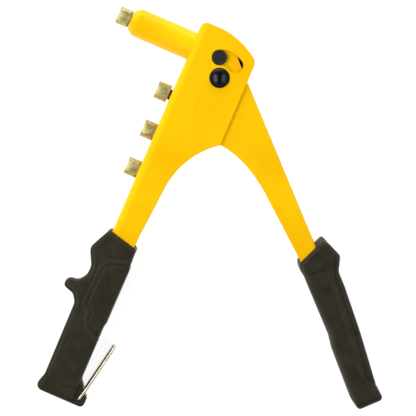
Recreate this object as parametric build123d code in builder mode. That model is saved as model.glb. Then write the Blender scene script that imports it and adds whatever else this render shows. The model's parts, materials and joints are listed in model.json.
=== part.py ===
"""Hand riveter with two long handles, drawn open.

The tool lies on its side: X runs back along the barrel from the nose, Y points away from the
handles, and Z is the thickness, with the middle plane at Z = 0. The origin is the centre of
the fitted nosepiece's front face. All lengths are in millimetres and all angles in degrees.

The fixed handle and the head are one folded sheet, open towards the lever. The lever is a
second, narrower folded sheet that turns between its cheeks. Closing the lever draws the pull
pin back, and with it the pull head, the jaw case and the three jaws inside the barrel.
"""
import os
from math import acos, asin, atan2, cos, degrees, radians, sin, sqrt, tan

from build123d import *

os.makedirs("parts", exist_ok=True)

# Clearances between pieces
fit_gap = 0.05  # beside a thread or a shaft, measured on the radius
sleeve_gap = 0.10  # around a handle inside its grip
slide_gap = 0.10  # beside the pull pin in its cross slot
cheek_gap = 0.30  # between the lever and each cheek of the head

# Nosepieces: round heads with two wrench flats and a short thread
nose_head_diameter = 10.8
nose_head_length = 7.8
nose_flats = 8.4
nose_thread_diameter = 7.0
nose_thread_length = 6.1
nose_tip_diameter = 4.6
nose_tip_taper = 1.0
nose_front_chamfer = 0.3
nose_back_chamfer = 0.5
fitted_bore = 2.1
spare_bores = (1.6, 2.5, 3.0)
spare_back_off = (1.6, 0.05, 0.05)  # how far each spare head stands off the handle
spare_first = 20.7  # below the pivot

# Barrel
barrel_diameter = 17.3
barrel_bore = 11.0
barrel_length = 39.9
barrel_tip_diameter = 11.7
barrel_cone_length = 4.0
barrel_tip_gap = 0.4  # between the nosepiece head and the barrel
barrel_thread_length = 5.0
spigot_diameter = 13.2
nut_diameter = 15.4
nut_thickness = 3.5
nut_notch = 1.6
nut_notches = 4
nut_chamfer = 0.8

# Fixed handle and head
frame_width = 20.0
frame_sheet = 2.0
bend_radius = 3.0
pivot_behind_web = 22.7
pivot_below_barrel = 11.3
frame_top = 27.6  # above the pivot
frame_corner = 4.0  # rounding where the web meets the top
frame_back = 16.2  # behind the pivot
frame_cusp = 36.4  # below the pivot, where the cheeks start to narrow
handle_depth = 15.8  # web to open edge, at the grip
handle_end = 205.0
spare_pitch = 0.119 * handle_end  # keeps the last spare nosepiece clear of the grip

# Lever
lever_width = frame_width - 2 * frame_sheet - 2 * cheek_gap
lever_sheet = 1.8
lever_bend = 2.6
lever_open = 46.3  # between the handles at rest
lever_head_radius = 18.6
lever_head_middle = 68.0  # direction of the middle of the lever's round head
lever_head_stop = 92.0  # direction where the round head ends
lever_back = 13.3
lever_front = 15.1
lever_depth = 11.6  # web to open edge, at the grip
lever_end = handle_end - 10.0
lever_web_top = 2.0

# Pins
pivot_diameter = 6.0
pivot_head_diameter = 12.1
pivot_head_height = 2.5
pull_diameter = 6.0
pull_head_diameter = 9.0
pull_radius = 12.27  # from the pivot
pull_head_thickness = 2.5
pull_head_rounding = 0.5
pull_sweep = 50.6  # of the slot in the cheeks
slot_overrun = 0.3  # of the slot beyond the pin at rest
slot_gap = 0.3  # beside the pin's head in the slot
pin_tail_diameter = 4.0  # the reduced end that carries the cap
pin_tail_length = 1.5

# Pull head, jaw case and jaws
pull_bar_diameter = 10.8
pull_bar_behind_pin = pull_diameter / 2 + 2.5
pull_bar_front = 42.0
mandrel_bore = 3.5
case_front = 15.0
case_bore = 8.6
case_mouth = 4.8
case_chamfer = 0.6
cone_angle = 8.0  # half angle of the cone that closes the jaws
jaw_gap = 0.10
jaw_front = 14.2
jaw_length = 12.0
jaw_count = 3
jaw_split = 6.0  # degrees left open between two jaws
jaw_bore = 2.7  # held open at rest, so that a mandrel can enter
jaw_teeth = 8
jaw_tooth_depth = 0.3
pusher_diameter = 7.4
pusher_flange = 2.6
pusher_stem_diameter = 5.0
pusher_length = 7.0
thread_stub_length = 5.0

# Springs
jaw_spring_wire = 0.7
jaw_spring_turns = 5
spacer_diameter = pivot_diameter + 1.4
spacer_end_gap = 0.15
spring_gap = 0.25  # between a coil and what it winds round
return_wire = 1.2
return_turns = 6
return_pitch = 1.3
frame_leg_angle = 202.0  # directions of the two legs; the lever's turns with it
frame_leg_length = 19.3
lever_leg_angle = -70.0
lever_leg_length = 17.0

# Grips
grip_width = frame_width + 6.0
lever_grip_width = lever_width + 5.6
grip_rounding = 3.0
lever_grip_rounding = 3.5

# Wire latch
latch_x = -1.6  # from the pivot
latch_y = -handle_end - 4.3
latch_length = 38.5
latch_tilt = 10.8  # from the barrel's normal, at rest
latch_wire = 1.8
latch_bend = 2.0
latch_inner_width = frame_width + 2.0
latch_ear_radius = 3.0
latch_ear_step = 0.5  # from the latch's axis to where the straight edges meet the round ear
latch_ear_reach = 9.0  # above the latch, where the cheek widens into the ear
latch_ear_root = 3.0  # how far the ear starts inside the cheek's edge
latch_recess_side = 3.3  # from the latch's axis to the step in the grip
latch_recess_top = 12.3
latch_recess_size = 20.0
latch_floor_gap = 0.2  # between a leg and the step beside it
latch_end_depth = 1.6  # how far each bent end reaches past the cheek's outer face

# Places worked out from the sizes above
web_x = nose_head_length + barrel_tip_gap + barrel_length
barrel_front = nose_head_length + barrel_tip_gap
barrel_thread_end = barrel_front + barrel_thread_length
pivot_x = web_x + pivot_behind_web
pivot_y = -pivot_below_barrel
frame_gap = frame_width - 2 * frame_sheet
lever_gap = lever_width - 2 * lever_sheet
spigot_end = web_x + frame_sheet + fit_gap + nut_thickness
pull_pin_x = pivot_x - sqrt(pull_radius**2 - pivot_below_barrel**2)
pull_bar_end = pull_pin_x + pull_bar_behind_pin
pull_angle = degrees(atan2(pivot_below_barrel, pull_pin_x - pivot_x))
pull_rise = pull_radius - pivot_below_barrel
stub_front = pull_bar_front - thread_stub_length

head_plane = Plane(origin=(pivot_x, pivot_y, 0))
lever_plane = head_plane.rotated((0, 0, lever_open))
pivot_axis = Axis((pivot_x, pivot_y, 0), (0, 0, 1))


def finish(part, name):
    """Label one finished piece and write it to its own file."""
    part.label = name
    export_step(part, f"parts/{name}.step")


def turned(points):
    """A piece turned about the barrel's axis from (distance back, radius) points."""
    with BuildPart() as piece:
        with BuildSketch():
            with BuildLine():
                Polyline(*points, close=True)
            make_face()
        revolve(axis=Axis.X)
    return piece.part


def polar(radius, angle):
    """The point at this radius and angle."""
    return (radius * cos(radians(angle)), radius * sin(radians(angle)))


def frame_outline():
    """Side view of the head and the fixed handle, seen from the pivot."""
    web = -pivot_behind_web
    edge = web + handle_depth
    flank = frame_corner * (1 - cos(radians(45)))
    ear_edge = sqrt(latch_ear_radius**2 - latch_ear_step**2)
    with BuildSketch() as outline:
        with BuildLine():
            Line((web, -handle_end), (web, frame_top - frame_corner))
            ThreePointArc(
                (web, frame_top - frame_corner),
                (web + flank, frame_top - flank),
                (web + frame_corner, frame_top),
            )
            ThreePointArc((web + frame_corner, frame_top), (0.6, 25.6), (frame_back - 2.0, 18.9))
            ThreePointArc((frame_back - 2.0, 18.9), (frame_back - 0.5, 16.9), (frame_back, 14.4))
            Line((frame_back, 14.4), (frame_back, -frame_cusp))
            ThreePointArc((frame_back, -frame_cusp), (2.0, -52.6), (-4.4, -76.0))
            Polyline((-4.4, -76.0), (edge, -108.0), (edge, -handle_end), (web, -handle_end))
        make_face()
        with BuildLine():
            Polyline(
                (edge - latch_ear_root, latch_y + latch_ear_reach),
                (edge, latch_y + latch_ear_reach),
                (latch_x + ear_edge, latch_y + latch_ear_step),
                (latch_x - latch_ear_step, latch_y - ear_edge),
                (edge - latch_ear_root, -handle_end),
                close=True,
            )
        make_face()
        with Locations((latch_x, latch_y)):
            Circle(latch_ear_radius)
    return outline.sketch


def lever_outline():
    """Side view of the lever in its closed direction, seen from the pivot."""
    corner = degrees(acos(lever_back / lever_head_radius))
    edge = lever_back - lever_depth
    with BuildSketch() as outline:
        with BuildLine():
            Line((lever_back, -lever_end), polar(lever_head_radius, corner))
            ThreePointArc(
                polar(lever_head_radius, corner),
                polar(lever_head_radius, lever_head_middle),
                polar(lever_head_radius, lever_head_stop),
            )
            Polyline(
                polar(lever_head_radius, lever_head_stop),
                (-9.5, 3.0),
                (-lever_front, -20.0),
                (-lever_front, -36.8),
            )
            ThreePointArc((-lever_front, -36.8), (-9.6, -45.2), (-5.6, -54.6))
            ThreePointArc((-5.6, -54.6), (-3.4, -63.0), (-1.7, -74.0))
            Polyline((-1.7, -74.0), (edge, -116.0), (edge, -lever_end), (lever_back, -lever_end))
        make_face()
    return outline.sketch


def rounded_outline(end, corners):
    """A closed outline through (x, height above the handle's end, corner radius) points."""
    points = [(x, rise - end) for x, rise, _ in corners]
    radii = [radius for _, _, radius in corners]
    with BuildSketch() as outline:
        with BuildLine():
            FilletPolyline(*points, radius=radii, close=True)
        make_face()
    return outline.sketch


def grip_outline():
    """Side view of the fixed grip, with its thumb stop, finger hook and flared end."""
    return rounded_outline(
        handle_end,
        (
            (-5.0, 91.8, 2.2),
            (-24.2, 96.4, 1.6),
            (-31.2, 81.6, 5.5),
            (-26.1, 71.8, 7.0),
            (-26.1, 66.2, 7.0),
            (-30.0, 60.8, 5.0),
            (-36.3, 60.2, 2.8),
            (-37.0, 54.4, 2.8),
            (-29.6, 52.2, 4.0),
            (-26.6, 47.6, 5.0),
            (-26.1, 1.8, 6.0),
            (-29.2, -8.6, 3.8),
            (2.9, -8.6, 2.6),
            (2.7, -2.6, 2.0),
            (-4.7, 7.2, 3.0),
            (-4.8, 40.8, 3.2),
            (-4.1, 43.4, 3.2),
            (-4.0, 78.0, 3.0),
            (-4.9, 83.0, 3.0),
        ),
    )


def lever_grip_outline():
    """Side view of the lever grip, with its thumb stop and a flared end."""
    return rounded_outline(
        lever_end,
        (
            (0.6, 76.1, 1.0),
            (19.7, 83.6, 1.6),
            (25.1, 69.0, 3.0),
            (20.4, 60.6, 6.0),
            (20.3, 51.0, 5.0),
            (18.2, 22.2, 4.0),
            (14.6, -10.2, 4.0),
            (15.4, -20.3, 2.5),
            (-1.0, -20.3, 2.2),
            (-2.5, -12.6, 2.4),
            (-2.4, -6.6, 3.0),
            (-1.3, 20.5, 3.0),
            (0.0, 28.0, 3.0),
            (0.2, 66.0, 3.0),
            (-0.6, 72.0, 3.0),
        ),
    )


def folded_section(width, sheet, bend, depth):
    """End view of a folded sheet: its web at X = 0, open towards +X, Z across the page."""
    with BuildSketch() as section:
        Rectangle(depth, width, align=(Align.MIN, Align.CENTER))
        fillet(section.vertices().group_by(Axis.X)[0], bend)
        with BuildSketch(mode=Mode.PRIVATE) as hollow:
            with Locations((sheet, 0)):
                Rectangle(depth, width - 2 * sheet, align=(Align.MIN, Align.CENTER))
            fillet(hollow.vertices().group_by(Axis.X)[0], bend - sheet)
        add(hollow.sketch, mode=Mode.SUBTRACT)
    return section.sketch


# ---- Fixed handle and its grip ----

frame_length = latch_ear_radius - latch_y + frame_top
with BuildPart() as frame:
    fold = Plane((web_x, pivot_y + frame_top - frame_length, 0), x_dir=(1, 0, 0), z_dir=(0, 1, 0))
    with BuildSketch(fold):
        add(folded_section(frame_width, frame_sheet, bend_radius, pivot_behind_web + frame_back))
    extrude(amount=frame_length)
    with BuildSketch(head_plane.offset(-frame_width / 2)):
        add(frame_outline())
    extrude(amount=frame_width, mode=Mode.INTERSECT)
    # Web: the barrel's hole and the threaded holes of the spare nosepieces.
    with BuildSketch(Plane.YZ.offset(web_x)):
        Circle(spigot_diameter / 2 + fit_gap)
        for number in range(len(spare_bores)):
            with Locations((pivot_y - spare_first - number * spare_pitch, 0)):
                Circle(nose_thread_diameter / 2 + fit_gap)
    extrude(amount=frame_sheet, mode=Mode.SUBTRACT)
    # Cheeks: the pivot's hole, the pull pin's arc slot and the latch's holes.
    with BuildSketch(head_plane.offset(-frame_width / 2)):
        Circle(pivot_diameter / 2 + fit_gap)
        with BuildLine(mode=Mode.PRIVATE) as slot:
            CenterArc((0, 0), pull_radius, pull_angle + slot_overrun, -pull_sweep)
        SlotArc(slot.edge(), pull_head_diameter + 2 * slot_gap)
        with Locations((latch_x, latch_y)):
            Circle(latch_wire / 2 + fit_gap)
    extrude(amount=frame_width, mode=Mode.SUBTRACT)
finish(frame.part, "frame")

with BuildPart() as fixed_grip:
    with BuildSketch(head_plane.offset(-grip_width / 2)):
        add(grip_outline())
    extrude(amount=grip_width)
    fillet(fixed_grip.faces().sort_by(Axis.Z)[-1].edges(), grip_rounding)
    fillet(fixed_grip.faces().sort_by(Axis.Z)[0].edges(), grip_rounding)
    # The pocket that takes the handle.
    pocket_width = frame_width + 2 * sleeve_gap
    with BuildSketch(head_plane.offset(-pocket_width / 2)):
        add(frame_outline())
        offset(amount=sleeve_gap, mode=Mode.REPLACE)
    extrude(amount=pocket_width, mode=Mode.SUBTRACT)
    # The stepped corner that lets the latch's legs swing.
    for side in (1, -1):
        recess_floor = side * (latch_inner_width / 2 - latch_floor_gap)
        with BuildSketch(head_plane.offset(recess_floor)):
            with Locations((latch_x - latch_recess_side, latch_y + latch_recess_top)):
                Rectangle(latch_recess_size, latch_recess_size, align=(Align.MIN, Align.MAX))
        extrude(amount=side * grip_width, mode=Mode.SUBTRACT)
    with BuildSketch(head_plane.offset(-grip_width / 2)):
        with Locations((latch_x, latch_y)):
            Circle(latch_wire / 2 + sleeve_gap)
    extrude(amount=grip_width, mode=Mode.SUBTRACT)
finish(fixed_grip.part, "fixed_grip")


# ---- Lever and its grip ----

with BuildPart() as lever:
    fold = Plane(
        lever_plane.from_local_coords((lever_back, -lever_end, 0)),
        x_dir=-lever_plane.x_dir,
        z_dir=lever_plane.y_dir,
    )
    with BuildSketch(fold):
        add(folded_section(lever_width, lever_sheet, lever_bend, 2 * lever_head_radius))
    extrude(amount=lever_end + lever_head_radius)
    with BuildSketch(lever_plane.offset(-lever_width / 2)):
        add(lever_outline())
    extrude(amount=lever_width, mode=Mode.INTERSECT)
    # The web stops below the pull head's path.
    with BuildSketch(lever_plane.offset(-lever_gap / 2)):
        with Locations((0, lever_web_top)):
            Rectangle(2 * lever_head_radius, lever_head_radius, align=(Align.CENTER, Align.MIN))
    extrude(amount=lever_gap, mode=Mode.SUBTRACT)
    with BuildSketch(lever_plane.offset(-lever_width / 2)):
        Circle(pivot_diameter / 2 + fit_gap)
        with Locations(polar(pull_radius, pull_angle - lever_open)):
            Circle(pull_diameter / 2 + fit_gap)
    extrude(amount=lever_width, mode=Mode.SUBTRACT)
finish(lever.part, "lever")

with BuildPart() as lever_grip:
    with BuildSketch(lever_plane.offset(-lever_grip_width / 2)):
        add(lever_grip_outline())
    extrude(amount=lever_grip_width)
    fillet(lever_grip.faces().sort_by(Axis.Z)[-1].edges(), lever_grip_rounding)
    fillet(lever_grip.faces().sort_by(Axis.Z)[0].edges(), lever_grip_rounding)
    pocket_width = lever_width + 2 * sleeve_gap
    with BuildSketch(lever_plane.offset(-pocket_width / 2)):
        add(lever_outline())
        offset(amount=sleeve_gap, mode=Mode.REPLACE)
    extrude(amount=pocket_width, mode=Mode.SUBTRACT)
finish(lever_grip.part, "lever_grip")


# ---- Pivot pin, its cap and its spacer ----


def pin_plane(x, y):
    """Half-section plane of an upright pin: local X is the radius and local Y is Z."""
    return Plane((x, y, 0), x_dir=(1, 0, 0), z_dir=(0, -1, 0))


def domed_head(base, diameter, height, side):
    """Half section of a domed head that stands on Z = base and rises towards side."""
    rim = height / 4
    crown = height - rim
    curve = (diameter**2 / 4 + crown**2) / (2 * crown)
    half_turn = asin(diameter / 2 / curve) / 2
    flank = (curve * sin(half_turn), base + side * (height - curve * (1 - cos(half_turn))))
    edge = base + side * rim
    top = base + side * height
    with BuildSketch() as section:
        with BuildLine():
            Polyline((0, top), (0, base), (diameter / 2, base), (diameter / 2, edge))
            ThreePointArc((diameter / 2, edge), flank, (0, top))
        make_face()
    return section.sketch


cheek_face = frame_width / 2 + fit_gap

with BuildPart() as pivot_pin:
    with BuildSketch(pin_plane(pivot_x, pivot_y)):
        add(domed_head(cheek_face, pivot_head_diameter, pivot_head_height, 1))
        with BuildLine():
            Polyline(
                (0, cheek_face),
                (0, -cheek_face - pin_tail_length),
                (pin_tail_diameter / 2, -cheek_face - pin_tail_length),
                (pin_tail_diameter / 2, -cheek_face),
                (pivot_diameter / 2, -cheek_face),
                (pivot_diameter / 2, cheek_face),
                close=True,
            )
        make_face()
    revolve(axis=pivot_axis)
finish(pivot_pin.part, "pivot_pin")

with BuildPart() as pivot_cap:
    with BuildSketch(pin_plane(pivot_x, pivot_y)):
        add(domed_head(-cheek_face, pivot_head_diameter, pivot_head_height, -1))
    revolve(axis=pivot_axis)
    with BuildSketch(head_plane.offset(-cheek_face)):
        Circle(pin_tail_diameter / 2 + fit_gap)
    extrude(amount=-pin_tail_length - fit_gap, mode=Mode.SUBTRACT)
finish(pivot_cap.part, "pivot_cap")

with BuildPart() as pivot_spacer:
    spacer_length = lever_gap - 2 * spacer_end_gap
    with BuildSketch(head_plane.offset(-spacer_length / 2)):
        Circle(spacer_diameter / 2)
        Circle(pivot_diameter / 2 + fit_gap, mode=Mode.SUBTRACT)
    extrude(amount=spacer_length)
finish(pivot_spacer.part, "pivot_spacer")


# ---- Return spring, wound round the spacer ----

coil_radius = spacer_diameter / 2 + spring_gap + return_wire / 2
coil_start = frame_leg_angle + 90 + 180
coil_stop = lever_open + lever_leg_angle + 90
coil_turns = return_turns + ((coil_start - coil_stop) % 360) / 360
coil_height = coil_turns * return_pitch

coil_foot = Location((pivot_x, pivot_y, -coil_height / 2), (0, 0, coil_start))
winding = coil_foot * Helix(return_pitch, coil_height, coil_radius, lefthand=True)
with BuildPart() as return_spring:
    # Each leg leaves the winding along its tangent: one to the handle's web, one to the lever's.
    with BuildLine() as wound_wire:
        add(winding)
        Line(winding @ 0, winding @ 0 - winding % 0 * frame_leg_length)
        Line(winding @ 1, winding @ 1 + winding % 1 * lever_leg_length)
    wire_path = wound_wire.wires()[0]
    with BuildSketch(Plane(wire_path @ 0, z_dir=wire_path % 0)):
        Circle(return_wire / 2)
    sweep(path=wire_path)
finish(return_spring.part, "return_spring")


# ---- Pull pin and its cap, which turn with the lever ----

lever_face = lever_width / 2 + fit_gap
with BuildPart() as pull_pin:
    with BuildSketch(head_plane.offset(-lever_face)):
        with Locations(polar(pull_radius, pull_angle)):
            Circle(pull_diameter / 2)
    extrude(amount=2 * lever_face)
    with BuildSketch(head_plane.offset(-lever_face)):
        with Locations(polar(pull_radius, pull_angle)):
            Circle(pin_tail_diameter / 2)
    extrude(amount=-pull_head_thickness)
    with BuildSketch(head_plane.offset(lever_face)):
        with Locations(polar(pull_radius, pull_angle)):
            Circle(pull_head_diameter / 2)
    extrude(amount=pull_head_thickness)
    fillet(pull_pin.faces().sort_by(Axis.Z)[-1].edges(), pull_head_rounding)
finish(pull_pin.part, "pull_pin")

with BuildPart() as pull_pin_cap:
    with BuildSketch(head_plane.offset(-lever_face)):
        with Locations(polar(pull_radius, pull_angle)):
            Circle(pull_head_diameter / 2)
    extrude(amount=-pull_head_thickness)
    fillet(pull_pin_cap.faces().sort_by(Axis.Z)[0].edges(), pull_head_rounding)
    with BuildSketch(head_plane.offset(-lever_face)):
        with Locations(polar(pull_radius, pull_angle)):
            Circle(pin_tail_diameter / 2 + fit_gap)
    extrude(amount=-pull_head_thickness, mode=Mode.SUBTRACT)
finish(pull_pin_cap.part, "pull_pin_cap")


# ---- Barrel and its ring nut ----

bore_radius = barrel_bore / 2
thread_radius = nose_thread_diameter / 2 + fit_gap
spigot_radius = spigot_diameter / 2
barrel = turned(
    (
        (barrel_front, thread_radius),
        (barrel_front, barrel_tip_diameter / 2),
        (barrel_front + barrel_cone_length, barrel_diameter / 2),
        (web_x, barrel_diameter / 2),
        (web_x, spigot_radius),
        (spigot_end, spigot_radius),
        (spigot_end, bore_radius),
        (barrel_thread_end, bore_radius),
        (barrel_thread_end, thread_radius),
    )
)
finish(barrel, "barrel")

with BuildPart() as barrel_nut:
    with BuildSketch(Plane.YZ.offset(spigot_end - nut_thickness)):
        Circle(nut_diameter / 2)
    extrude(amount=nut_thickness)
    chamfer(barrel_nut.edges().filter_by(GeomType.CIRCLE), nut_chamfer)
    with BuildSketch(Plane.YZ.offset(spigot_end - nut_thickness)):
        Circle(spigot_radius + fit_gap)
        # Four notches take a pin spanner.
        with PolarLocations(nut_diameter / 2, nut_notches, start_angle=45):
            Rectangle(nut_notch / 2, nut_notch)
    extrude(amount=nut_thickness, mode=Mode.SUBTRACT)
finish(barrel_nut.part, "barrel_nut")


# ---- Nosepieces: one in the barrel and three spares in the handle's web ----


def nosepiece(face_x, axis_y, bore):
    """A nosepiece that points forwards, with the front of its head at face_x."""
    back = face_x + nose_head_length
    end = back + nose_thread_length
    head_radius = nose_head_diameter / 2
    stem_radius = nose_thread_diameter / 2
    axis = Axis((0, axis_y, 0), (1, 0, 0))
    with BuildPart() as piece:
        with BuildSketch(Plane((0, axis_y, 0))):
            with BuildLine():
                Polyline(
                    (face_x, bore / 2),
                    (face_x, head_radius - nose_front_chamfer),
                    (face_x + nose_front_chamfer, head_radius),
                    (back - nose_back_chamfer, head_radius),
                    (back, head_radius - nose_back_chamfer),
                    (back, stem_radius),
                    (end - nose_tip_taper, stem_radius),
                    (end, nose_tip_diameter / 2),
                    (end, bore / 2),
                    close=True,
                )
            make_face()
        revolve(axis=axis)
        for side in (1, -1):
            with BuildSketch(Plane.XY.offset(side * nose_flats / 2)):
                with Locations((face_x, axis_y)):
                    Rectangle(2 * nose_head_length, 2 * nose_head_diameter)
            extrude(amount=side * nose_head_diameter, mode=Mode.SUBTRACT)
    return piece.part


finish(nosepiece(0, 0, fitted_bore), "nosepiece_fitted")
for number, (bore, back_off) in enumerate(zip(spare_bores, spare_back_off)):
    spare = nosepiece(
        web_x - nose_head_length - back_off,
        pivot_y - spare_first - number * spare_pitch,
        bore,
    )
    finish(spare, f"spare_nosepiece_{number + 1}")


# ---- Pull head, jaw case, jaws and pusher ----

bar_radius = pull_bar_diameter / 2
case_radius = case_bore / 2
with BuildPart() as pull_head:
    add(
        turned(
            (
                (stub_front, mandrel_bore / 2),
                (stub_front, case_radius - fit_gap),
                (pull_bar_front, case_radius - fit_gap),
                (pull_bar_front, bar_radius),
                (pull_bar_end, bar_radius),
                (pull_bar_end, 0),
                (pull_pin_x, 0),
                (pull_pin_x, mandrel_bore / 2),
            )
        )
    )
    # The cross slot leaves room for the pin to rise and fall on its arc.
    with BuildSketch(Plane.XY.offset(-bar_radius)):
        with Locations(Location((pull_pin_x, pull_rise / 2, 0), (0, 0, 90))):
            SlotCenterToCenter(pull_rise + slide_gap, pull_diameter + 2 * slide_gap)
    extrude(amount=pull_bar_diameter, mode=Mode.SUBTRACT)
finish(pull_head.part, "pull_head")

flare = tan(radians(cone_angle))
case_cone_end = case_front + (case_radius - case_mouth / 2) / flare
jaw_case = turned(
    (
        (case_front, case_mouth / 2),
        (case_front, bar_radius - case_chamfer),
        (case_front + case_chamfer, bar_radius),
        (pull_bar_front - fit_gap, bar_radius),
        (pull_bar_front - fit_gap, case_radius),
        (case_cone_end, case_radius),
    )
)
finish(jaw_case, "jaw_case")

jaw_back = jaw_front + jaw_length
jaw_front_radius = case_mouth / 2 - (case_front - jaw_front) * flare - jaw_gap
jaw_back_radius = jaw_front_radius + jaw_length * flare
tooth_pitch = jaw_length / (jaw_teeth + 1)


def jaw_section():
    """Half section of a jaw: a cone outside and saw teeth along the mandrel."""
    bite = jaw_bore / 2
    with BuildSketch() as section:
        with BuildLine():
            points = [(jaw_back, bite), (jaw_back, jaw_back_radius), (jaw_front, jaw_front_radius)]
            points.append((jaw_front, bite))
            for tooth in range(jaw_teeth):
                root = jaw_front + (tooth + 1) * tooth_pitch
                points.append((root - tooth_pitch / 4, bite))
                points.append((root, bite + jaw_tooth_depth))
            points.append((jaw_back - tooth_pitch / 4, bite))
            Polyline(*points, close=True)
        make_face()
    return section.sketch


for number in range(jaw_count):
    turn = number * 360 / jaw_count + (jaw_split - 360 / jaw_count) / 2
    with BuildPart() as jaw:
        with BuildSketch(Plane.XY.rotated((turn, 0, 0))):
            add(jaw_section())
        revolve(axis=Axis.X, revolution_arc=360 / jaw_count - jaw_split)
    finish(jaw.part, f"jaw_{number + 1}")

pusher_front = jaw_back + jaw_gap
flange_end = pusher_front + pusher_flange
jaw_pusher = turned(
    (
        (pusher_front, mandrel_bore / 2),
        (pusher_front, pusher_diameter / 2),
        (flange_end, pusher_diameter / 2),
        (flange_end, pusher_stem_diameter / 2),
        (pusher_front + pusher_length, pusher_stem_diameter / 2),
        (pusher_front + pusher_length, mandrel_bore / 2),
    )
)
finish(jaw_pusher, "jaw_pusher")

with BuildPart() as jaw_spring:
    spring_start = flange_end + fit_gap + jaw_spring_wire / 2
    spring_length = stub_front - fit_gap - jaw_spring_wire / 2 - spring_start
    spring_radius = pusher_stem_diameter / 2 + spring_gap + jaw_spring_wire / 2
    pitch = spring_length / jaw_spring_turns
    with BuildLine() as coil:
        Helix(pitch, spring_length, spring_radius, (spring_start, 0, 0), (1, 0, 0))
    with BuildSketch(Plane(coil.line @ 0, z_dir=coil.line % 0)):
        Circle(jaw_spring_wire / 2)
    sweep(path=coil.line, is_frenet=True)
finish(jaw_spring.part, "jaw_spring")


# ---- Wire latch ----

latch_plane = Plane(
    (pivot_x + latch_x, pivot_y + latch_y, 0),
    x_dir=(sin(radians(latch_tilt)), cos(radians(latch_tilt)), 0),
    z_dir=(cos(radians(latch_tilt)), -sin(radians(latch_tilt)), 0),
)
leg = (latch_inner_width + latch_wire) / 2
tip = frame_width / 2 - latch_end_depth
eye_bend = leg - latch_inner_width / 2 + latch_floor_gap  # ends level with the grip's step
with BuildPart() as wire_latch:
    with BuildLine(latch_plane) as wire:
        FilletPolyline(
            (0, tip),
            (0, leg),
            (latch_length, leg),
            (latch_length, -leg),
            (0, -leg),
            (0, -tip),
            radius=[eye_bend, latch_bend, latch_bend, eye_bend],
        )
    with BuildSketch(Plane(wire.line @ 0, z_dir=wire.line % 0)):
        Circle(latch_wire / 2)
    sweep(path=wire.line)
finish(wire_latch.part, "wire_latch")
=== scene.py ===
import json
from math import asin, atan2, copysign, cos, degrees, hypot, pi, radians, sin, sqrt, tan

import bmesh
import bpy
from mathutils import Matrix, Vector
from mathutils.bvhtree import BVHTree


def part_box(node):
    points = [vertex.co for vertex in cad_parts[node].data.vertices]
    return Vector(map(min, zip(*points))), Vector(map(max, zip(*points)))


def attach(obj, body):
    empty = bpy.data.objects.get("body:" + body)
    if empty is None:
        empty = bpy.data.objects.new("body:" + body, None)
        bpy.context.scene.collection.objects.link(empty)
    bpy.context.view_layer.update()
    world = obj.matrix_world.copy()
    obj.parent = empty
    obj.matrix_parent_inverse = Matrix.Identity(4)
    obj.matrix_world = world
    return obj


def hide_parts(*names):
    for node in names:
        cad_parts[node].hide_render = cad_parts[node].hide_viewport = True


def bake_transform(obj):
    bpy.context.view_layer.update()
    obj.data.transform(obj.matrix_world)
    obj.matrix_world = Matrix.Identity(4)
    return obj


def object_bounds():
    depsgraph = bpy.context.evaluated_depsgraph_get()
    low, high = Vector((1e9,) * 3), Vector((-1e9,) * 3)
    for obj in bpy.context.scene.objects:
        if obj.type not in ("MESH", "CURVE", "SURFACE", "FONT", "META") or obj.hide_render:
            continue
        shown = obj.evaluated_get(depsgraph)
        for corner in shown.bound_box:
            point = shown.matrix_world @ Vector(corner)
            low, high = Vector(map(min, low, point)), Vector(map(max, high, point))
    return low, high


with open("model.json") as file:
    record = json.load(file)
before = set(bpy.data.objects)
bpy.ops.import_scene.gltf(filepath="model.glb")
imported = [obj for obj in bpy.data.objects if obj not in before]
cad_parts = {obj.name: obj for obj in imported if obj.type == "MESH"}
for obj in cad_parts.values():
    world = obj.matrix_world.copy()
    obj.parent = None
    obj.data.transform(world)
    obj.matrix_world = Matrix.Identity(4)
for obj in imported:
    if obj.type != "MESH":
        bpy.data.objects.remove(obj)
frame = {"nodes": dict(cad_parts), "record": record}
cadBox = [list(corner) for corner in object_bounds()]
nodes = frame["nodes"]
print("frame loaded:", len(nodes), "pieces")

# Every piece is modelled in millimetres and scaled to metres at the end.
mm = 0.001


def middleOf(node):
    low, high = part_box(node)
    return (Vector(low) + Vector(high)) / (2 * mm)


def lowOf(node):
    return Vector(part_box(node)[0]) / mm


def highOf(node):
    return Vector(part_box(node)[1]) / mm


def jointPlace(name):
    for joint in frame["record"]["behaviour"]["joints"]:
        if joint["name"] == name:
            return Vector(joint["pos_m"]) / mm


pivot = middleOf("pivot_pin")
latchEye = jointPlace("latch_swing")
leverTurn = 46.3  # degrees between the handles


# A handle's own space: its origin at the pivot, its length down along -Y.
def handleSpace(turn=0):
    return Matrix.Translation((pivot.x, pivot.y, 0)) @ Matrix.Rotation(radians(turn), 4, "Z")


def newMaterial(name, color, roughness, metallic=0.0, specular=0.5):
    material = bpy.data.materials.new(name)
    material.use_nodes = True
    shader = material.node_tree.nodes["Principled BSDF"]
    shader.inputs["Base Color"].default_value = (*color, 1)
    shader.inputs["Roughness"].default_value = roughness
    shader.inputs["Metallic"].default_value = metallic
    shader.inputs["Specular IOR Level"].default_value = specular
    return material, shader


def addNode(material, kind, settings=None, **properties):
    made = material.node_tree.nodes.new(kind)
    for name, value in properties.items():
        setattr(made, name, value)
    for name, value in (settings or {}).items():
        made.inputs[name].default_value = value
    return made


def join(material, output, socket):
    material.node_tree.links.new(output, socket)


def objectPlace(material):
    return addNode(material, "ShaderNodeTexCoord").outputs["Object"]


def noiseOn(material, scale, detail=3.0, roughness=0.5, stretch=(1, 1, 1)):
    mapping = addNode(material, "ShaderNodeMapping", {"Scale": stretch})
    noise = addNode(
        material,
        "ShaderNodeTexNoise",
        {"Scale": scale, "Detail": detail, "Roughness": roughness},
    )
    join(material, objectPlace(material), mapping.inputs["Vector"])
    join(material, mapping.outputs["Vector"], noise.inputs["Vector"])
    return noise.outputs["Fac"]


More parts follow.
